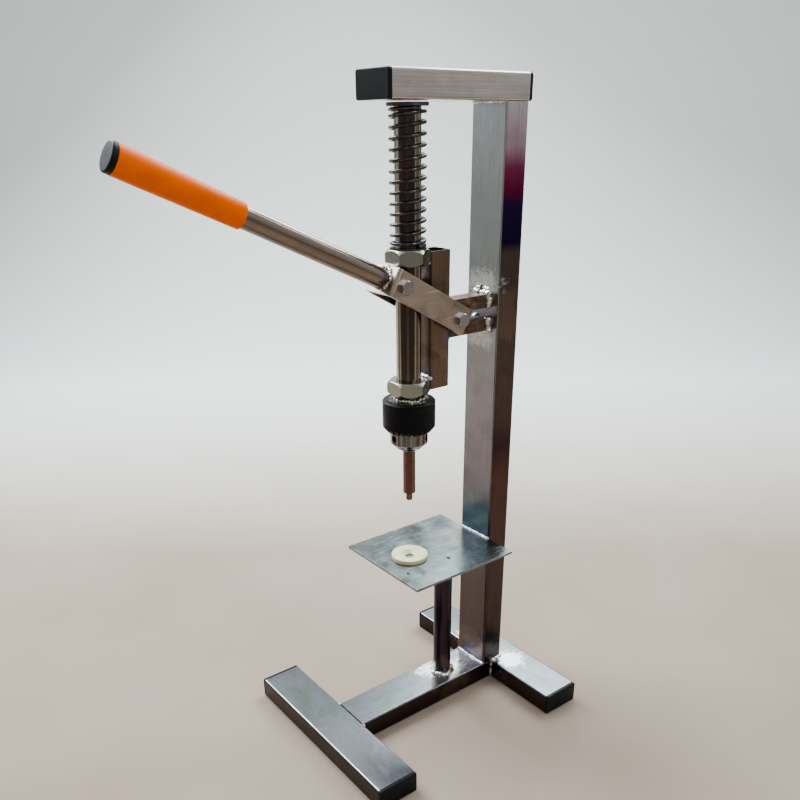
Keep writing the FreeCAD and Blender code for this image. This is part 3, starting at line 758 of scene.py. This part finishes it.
# %% Spring wire
def drawn_wire(name):
    """Oil-darkened wire: mottled brown grey with bright rubbed patches."""
    material, tree, shader = start(name, metallic=1.0)
    blotch = noise(tree, coords(tree), 210.0, 4.0, 0.6)
    base = ramp(tree, blotch, [(0.3, (0.045, 0.04, 0.045)), (0.55, (0.10, 0.095, 0.10)),
                               (0.78, (0.24, 0.23, 0.23))])
    join(tree, base, shader, "Base Color")
    join(tree, remap(tree, blotch, 0.3, 0.7, 0.40, 0.24), shader, "Roughness")
    return material


# %% [markdown]
# The spring stands on the frame and its top follows the ram, so it is squeezed between the two as
# the ram goes down: its length at the bottom of the stroke is its own length less the travel. Here
# it is grown at its full length and rides on the frame alone.

# %% The spring in its place
spring = grow("return_spring_wire", spring_tree(drawn_wire("spring_wire")), {
    "Coil Radius": COIL_OUTER - WIRE, "Wire Radius": WIRE, "Height": SPRING_LENGTH,
    "Open Turns": OPEN_TURNS, "Points": 700})
spring.data.transform(Matrix.Translation((0, 0, spring_low.z)))
spring.data.shade_smooth()
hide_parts("return_spring")
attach(spring, "frame")
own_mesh(spring)

# %% [markdown]
# ## Weld beads
# A hand weld is a row of small puddles that overlap, uneven in size. Each bead is grown along its
# seam: points at an even step, a lump on each point with its size shaken by a fixed seed, and all
# the lumps melted into one skin by turning them into a volume and back.


# %% The bead as a node tree
def bead_tree(material):
    tree, given, result = new_tree("weld bead", [
        ("From", "NodeSocketVector", (0, 0, 0)), ("To", "NodeSocketVector", (0.1, 0, 0)),
        ("Size", "NodeSocketFloat", 0.003), ("Step", "NodeSocketFloat", 0.002),
        ("Flat", "NodeSocketVector", (1, 1, 1)), ("Voxel", "NodeSocketFloat", 0.0005),
        ("Shake", "NodeSocketFloat", 0.0006), ("Seed", "NodeSocketInt", 1)])
    ins = given.outputs
    seam = add(tree, "GeometryNodeCurvePrimitiveLine", {"Start": ins["From"], "End": ins["To"]})
    points = add(tree, "GeometryNodeCurveToPoints",
                 {"Curve": seam.outputs[0], "Length": ins["Step"]}, mode="LENGTH")
    return finish_beads(tree, ins, points.outputs[0], result, material)


def finish_beads(tree, ins, points, result, material):
    down = compute(tree, "MULTIPLY", ins["Shake"], -1.0)
    lows = add(tree, "ShaderNodeCombineXYZ", {"X": down, "Y": down, "Z": down})
    highs = add(tree, "ShaderNodeCombineXYZ",
                {"X": ins["Shake"], "Y": ins["Shake"], "Z": ins["Shake"]})
    moved = add(tree, "FunctionNodeRandomValue", {"Min": lows.outputs[0], "Max": highs.outputs[0],
                                                  "Seed": ins["Seed"]}, data_type="FLOAT_VECTOR")
    shaken = add(tree, "GeometryNodeSetPosition",
                 {"Geometry": points, "Offset": moved.outputs["Value"]})
    lump = add(tree, "GeometryNodeMeshIcoSphere", {"Radius": ins["Size"], "Subdivisions": 3})
    spread = add(tree, "FunctionNodeRandomValue",
                 {2: 0.72, 3: 1.12, "Seed": compute(tree, "ADD", ins["Seed"], 7.0)},
                 data_type="FLOAT")
    scale = add(tree, "ShaderNodeVectorMath", {0: ins["Flat"], "Scale": spread.outputs[1]},
                operation="SCALE")
    laid = add(tree, "GeometryNodeInstanceOnPoints",
               {"Points": shaken.outputs[0], "Instance": lump.outputs[0],
                "Scale": scale.outputs[0]})
    real = add(tree, "GeometryNodeRealizeInstances", {"Geometry": laid.outputs[0]})
    cloud = add(tree, "GeometryNodeMeshToVolume",
                {"Mesh": real.outputs[0], "Voxel Size": ins["Voxel"],
                 "Interior Band Width": 0.004}, resolution_mode="VOXEL_SIZE")
    skin = add(tree, "GeometryNodeVolumeToMesh",
               {"Volume": cloud.outputs[0], "Threshold": 0.1, "Adaptivity": 0.0})
    even = add(tree, "GeometryNodeSetShadeSmooth", {"Geometry": skin.outputs[0]})
    last = add(tree, "GeometryNodeRealizeInstances", {"Geometry": even.outputs[0]})
    coated = add(tree, "GeometryNodeSetMaterial",
                 {"Geometry": last.outputs[0], "Material": material})
    tree.links.new(coated.outputs[0], result.inputs[0])
    return tree


def ring_bead_tree(material):
    tree, given, result = new_tree("ring weld",
                                   [("Ring Radius", "NodeSocketFloat", 0.011),
                                    ("Count", "NodeSocketInt", 24),
                                    ("Size", "NodeSocketFloat", 0.003),
                                    ("Flat", "NodeSocketVector", (1, 1, 1)),
                                    ("Voxel", "NodeSocketFloat", 0.0005),
                                    ("Shake", "NodeSocketFloat", 0.0006),
                                    ("Seed", "NodeSocketInt", 1)])
    ins = given.outputs
    ring = add(tree, "GeometryNodeCurvePrimitiveCircle",
               {"Resolution": 96, "Radius": ins["Ring Radius"]})
    points = add(tree, "GeometryNodeCurveToPoints",
                 {"Curve": ring.outputs[0], "Count": ins["Count"]}, mode="COUNT")
    return finish_beads(tree, ins, points.outputs[0], result, material)


def weld_metal(name):
    """Fresh weld: bright ripples, straw and violet soot in noise patches."""
    material, tree, shader = start(name, metallic=1.0)
    soot = noise(tree, coords(tree), 160.0, 5.0, 0.65, 0.6)
    grit = noise(tree, coords(tree), 1400.0, 3.0, 0.6)
    base = ramp(tree, soot, [(0.30, (0.10, 0.09, 0.10)), (0.40, (0.40, 0.27, 0.15)),
                             (0.47, (0.62, 0.60, 0.56)), (0.60, (0.76, 0.82, 0.83))])
    join(tree, base, shader, "Base Color")
    join(tree, remap(tree, soot, 0.3, 0.7, 0.42, 0.18), shader, "Roughness")
    relief(tree, shader, grit, 0.4, 0.00015)
    return material


# %% [markdown]
# The seams follow the parts: the column's foot and head, the four corners of the base, both faces
# of the plate, the post's two ends, and the guide, where the welder built up three rows over the
# upper bracket. Each group of beads becomes one piece that stands for that group in the frame.

# %% Laying the beads
bead_metal = weld_metal("weld_metal")
straight = bead_tree(bead_metal)
round_seam = ring_bead_tree(bead_metal)
beads = {"weld_beads_column": [], "weld_beads_base": [], "weld_beads_plate": [],
         "weld_beads_guide": []}


def lay(group, start_point, end_point, size, step=0.75, flat=(1, 1, 1), shake=0.16):
    """One straight bead; step and shake are shares of its size."""
    count = sum(len(b) for b in beads.values())
    bead = grow(f"bead_{count}", straight,
                {"From": tuple(start_point), "To": tuple(end_point), "Size": size,
                 "Step": size * step, "Flat": flat, "Shake": size * shake, "Seed": 11 + count,
                 "Voxel": max(size / 9, 0.00025)})
    beads[group].append(bead)


def lay_ring(name, centre, radius, size, count, flat, shake=0.16, seed=3):
    ring = grow(name, round_seam, {"Ring Radius": radius, "Count": count, "Size": size,
                                   "Flat": flat, "Shake": size * shake, "Seed": seed,
                                   "Voxel": max(size / 9, 0.00025)})
    ring.data.transform(Matrix.Translation(centre))
    return ring


def gather(group, name):
    """Joins a group's beads into one piece."""
    work = bmesh.new()
    for bead in beads[group]:
        work.from_mesh(bead.data)
        bpy.data.objects.remove(bead)
    mesh = bpy.data.meshes.new(name)
    work.to_mesh(mesh)
    work.free()
    mesh.materials.append(bead_metal)
    mesh.shade_smooth()
    piece = bpy.data.objects.new(name, mesh)
    bpy.context.scene.collection.objects.link(piece)
    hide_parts(group)
    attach(piece, "frame")
    print(name, len(mesh.polygons), "faces")
    return piece


# %% Beads on the frame
X_EDGE = TUBE_HALF - 2 * MM
for side in (-1, 1):
    lay("weld_beads_column", (side * TUBE_HALF, RAIL_BACK + MM, RAIL_TOP),
        (side * TUBE_HALF, COLUMN_BACK - 2 * MM, RAIL_TOP), 4.2 * MM, step=0.6,
        flat=(1.15, 1, 0.85), shake=0.22)
lay("weld_beads_column", (-X_EDGE, COLUMN_FRONT, RAIL_TOP), (X_EDGE, COLUMN_FRONT, RAIL_TOP),
    2.6 * MM, flat=(1, 1.1, 0.9))
lay("weld_beads_column", (-X_EDGE, COLUMN_BACK, RAIL_TOP), (X_EDGE, COLUMN_BACK, RAIL_TOP),
    2.4 * MM)
lay("weld_beads_column", (-X_EDGE, COLUMN_FRONT, ARM_UNDER), (X_EDGE, COLUMN_FRONT, ARM_UNDER),
    1.8 * MM)
gather("weld_beads_column", "column_weld")

for side in (-1, 1):
    for y in (RAIL_FRONT, RAIL_BACK):
        lay("weld_beads_base", (side * TUBE_HALF, y, 3 * MM),
            (side * TUBE_HALF, y, RAIL_TOP - 2.5 * MM), 2.4 * MM)
gather("weld_beads_base", "base_weld")

lay("weld_beads_plate", (-X_EDGE, COLUMN_FRONT, PLATE_TOP), (X_EDGE, COLUMN_FRONT, PLATE_TOP),
    2.0 * MM)
lay("weld_beads_plate", (-X_EDGE, COLUMN_FRONT, PLATE_UNDER), (X_EDGE, COLUMN_FRONT, PLATE_UNDER),
    2.0 * MM)
for z in (RAIL_TOP, PLATE_UNDER):
    size = 4.4 * MM if z == RAIL_TOP else 2.4 * MM
    ring = lay_ring("post_ring", (POST.x, POST.y, z), POST_RADIUS + 0.6 * MM, size, 30,
                    (1, 1, 0.95), shake=0.24, seed=5)
    beads["weld_beads_plate"].append(ring)
gather("weld_beads_plate", "plate_weld")

BAR_HALF = high("bracket_bar_upper").x
for bar, top in (("bracket_bar_upper", True), ("bracket_bar_lower", False)):
    a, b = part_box(bar)
    z = b.z if top else a.z
    rows = ((0.0, -1.0, 4.6), (4.2, 1.6, 4.0), (7.4, 2.4, 3.4)) if top else ((0.0, -0.5, 3.8),)
    for rise, out, size in rows:
        y = COLUMN_FRONT + out * MM
        lay("weld_beads_guide", (-BAR_HALF, y, z + rise * MM), (BAR_HALF, y, z + rise * MM),
            size * MM, 0.36, flat=(0.8, 0.8, 1.0), shake=0.16)
    lay("weld_beads_guide", (-BAR_HALF + MM, SPINE_BACK, z), (BAR_HALF - MM, SPINE_BACK, z),
        2.8 * MM)
    for side in (-1, 1):
        lay("weld_beads_guide", (side * BAR_HALF, COLUMN_FRONT, a.z + MM),
            (side * BAR_HALF, COLUMN_FRONT, b.z - MM), 5.0 * MM, 0.62, flat=(1, 1.1, 0.75))
for nut, level, reach, size in (("guide_nut_upper", 0, 8 * MM, 2.6 * MM),
                                ("guide_nut_lower", 1, 11 * MM, 3.2 * MM)):
    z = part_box(nut)[level].z
    lay("weld_beads_guide", (-reach, SPINE_FRONT, z), (reach, SPINE_FRONT, z), size, 0.6,
        shake=0.25)
gather("weld_beads_guide", "guide_weld")

# %% [markdown]
# Two more welds ride on moving parts: the fillet that holds the chuck to the ram, and the one
# round the lever tube at its clevis. The second lies square to the slanting tube, so it is turned
# by the lever's slope.

# %% Ring welds on the moving parts
ring_low, ring_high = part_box("ram_chuck_weld")
chuck_ring = lay_ring("ram_chuck_bead", (0, 0, ring_low.z + 0.9 * MM), RAM_RADIUS + 1.9 * MM,
                      3.2 * MM, 26, (1, 1, 0.85), shake=0.28, seed=21)
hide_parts("ram_chuck_weld")
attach(chuck_ring, "ram")

lean = Matrix.Rotation(math.pi / 2 - slope, 4, "X")
lever_ring = lay_ring("lever_weld_bead", (0, 0, 0), 10.8 * MM, 3.0 * MM, 26, (1, 1, 1), shake=0.25,
                      seed=33)
lever_ring.data.transform(Matrix.Translation(middle("lever_weld")
                                             + Vector((0, 1.5 * MM, -0.5 * MM))) @ lean)
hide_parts("lever_weld")
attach(lever_ring, "lever")

# %% [markdown]
# ## Studio
# A pale floor that curves up behind the machine, soft lights around it and a grey room, because
# polished steel shows only what stands around it.


# %% Floor
FLOOR_HALF, FLOOR_FRONT = 4.0, -2.5
BEND_AT, BEND_RADIUS, WALL_HEIGHT = 1.5, 0.8, 3.2
BEND_STEPS = 16
FLOOR_TURN = math.radians(52)


def sweep_floor():
    """A floor that curves up into a wall far behind."""
    mesh = bpy.data.meshes.new("floor")
    work = bmesh.new()
    profile = [(FLOOR_FRONT, 0.0), (0.0, 0.0), (BEND_AT, 0.0)]
    profile += [(BEND_AT + BEND_RADIUS * math.sin(t), BEND_RADIUS - BEND_RADIUS * math.cos(t))
                for t in (math.pi / 2 * i / BEND_STEPS for i in range(1, BEND_STEPS + 1))]
    profile.append((BEND_AT + BEND_RADIUS, WALL_HEIGHT))
    rows = [[work.verts.new((x, y, z)) for x in (-FLOOR_HALF, FLOOR_HALF)] for y, z in profile]
    for a, b in zip(rows, rows[1:]):
        work.faces.new((a[0], a[1], b[1], b[0])).smooth = True
    work.to_mesh(mesh)
    work.free()
    floor = bpy.data.objects.new("floor", mesh)
    bpy.context.scene.collection.objects.link(floor)
    floor.data.transform(Matrix.Rotation(FLOOR_TURN, 4, "Z"))
    return floor


# %% The cloth on the floor
floor_cloth, tree, shader = start("floor_cloth", roughness=0.9)
shader.inputs["Specular IOR Level"].default_value = 0.2
weave = noise(tree, coords(tree), 3.0, 3.0, 0.5)
near_cloth = ramp(tree, weave, [(0.3, (0.36, 0.295, 0.245)), (0.7, (0.42, 0.35, 0.295))])
# Painted backlight: the brown cloth turns pale bluish white towards the back wall.
back = add(tree, "ShaderNodeVectorMath", {0: coords(tree), 1: (-0.788, 0.616, 0.35)},
           operation="DOT_PRODUCT")
painted_backlight = remap(tree, back.outputs["Value"], 0.40, 1.45, 0.0, 1.0)
join(tree, blend(tree, painted_backlight, near_cloth, (0.86, 0.90, 0.89)), shader, "Base Color")
floor = sweep_floor()
floor.data.materials.append(floor_cloth)
print("floor staged")


# %% [markdown]
# Polished steel shows the lights as broad pale bands. A big window light stands on the left, a
# wide one behind, and a narrow warm one fills the right side.

# %% Lights
def soft_light(name, place, aim, size, watts, colour):
    light = bpy.data.lights.new(name, "AREA")
    light.shape = "RECTANGLE"
    light.size, light.size_y = size
    light.energy = watts
    light.color = colour
    lamp = bpy.data.objects.new(name, light)
    lamp.location = place
    lamp.rotation_euler = (Vector(aim) - Vector(place)).to_track_quat("-Z", "Y").to_euler()
    bpy.context.scene.collection.objects.link(lamp)
    return lamp


AIM = (0, 0.03, 0.35)
soft_light("window", (-1.3, -0.3, 1.7), AIM, (1.2, 1.4), 52, (0.92, 0.98, 1.0))
soft_light("back", (-0.5, 1.35, 1.7), AIM, (1.8, 1.0), 34, (0.93, 1.0, 1.0))
soft_light("fill", (1.6, 0.2, 1.5), AIM, (0.35, 1.2), 7, (1.0, 0.95, 0.90))
bpy.context.scene.view_settings.look = "AgX - Medium High Contrast"
print("three soft lights")

# %% [markdown]
# The room is a gradient, warm below and cool above. It is darker towards the front right, so that
# the faces on that side stay dark.

# %% The room that the steel reflects
world = bpy.data.worlds.new("room")
bpy.context.scene.world = world
world.use_nodes = True
room = world.node_tree
background = room.nodes["Background"]
facing = add(room, "ShaderNodeTexCoord").outputs["Generated"]
split = add(room, "ShaderNodeSeparateXYZ", {"Vector": facing})
rise = ramp(room, remap(room, split.outputs["Z"], -1.0, 1.0, 0.0, 1.0),
            [(0.0, (0.30, 0.26, 0.23)), (0.47, (0.42, 0.38, 0.35)), (0.53, (0.62, 0.63, 0.63)),
             (1.0, (0.80, 0.84, 0.86))])
toward = compute(room, "ADD", compute(room, "MULTIPLY", split.outputs["X"], 0.78),
                 compute(room, "MULTIPLY", split.outputs["Y"], -0.62))
dim = remap(room, toward, -0.1, 0.6, 1.0, 0.45)
background.inputs["Strength"].default_value = 0.95
room.links.new(blend(room, dim, (0.20, 0.175, 0.16), rise), background.inputs["Color"])
print("room ready")

# %% [markdown]
# ## Camera
# The machine is seen from its front right, from just under the arm's height, looking down.

# %% Camera
VIEW_BEARING = math.radians(51.87)
VIEW_DISTANCE = 0.8281
VIEW_HEIGHT = 0.6571
VIEW_TURN = math.radians(52.61)
VIEW_DOWN = math.radians(25.84)
VIEW_ROLL = math.radians(-0.59)
camera_data = bpy.data.cameras.new("camera")
camera_data.sensor_width = 36.0
camera_data.lens = 36.39
camera_data.shift_y = 0.15
camera = bpy.data.objects.new("camera", camera_data)
bpy.context.scene.collection.objects.link(camera)
camera.matrix_world = (Matrix.Translation((VIEW_DISTANCE * math.sin(VIEW_BEARING),
                                           -VIEW_DISTANCE * math.cos(VIEW_BEARING), VIEW_HEIGHT))
                       @ Matrix.Rotation(VIEW_TURN, 4, "Z")
                       @ Matrix.Rotation(math.pi / 2 - VIEW_DOWN, 4, "X")
                       @ Matrix.Rotation(VIEW_ROLL, 4, "Z"))
bpy.context.scene.camera = camera
print("camera", [round(v, 3) for v in camera.matrix_world.translation])
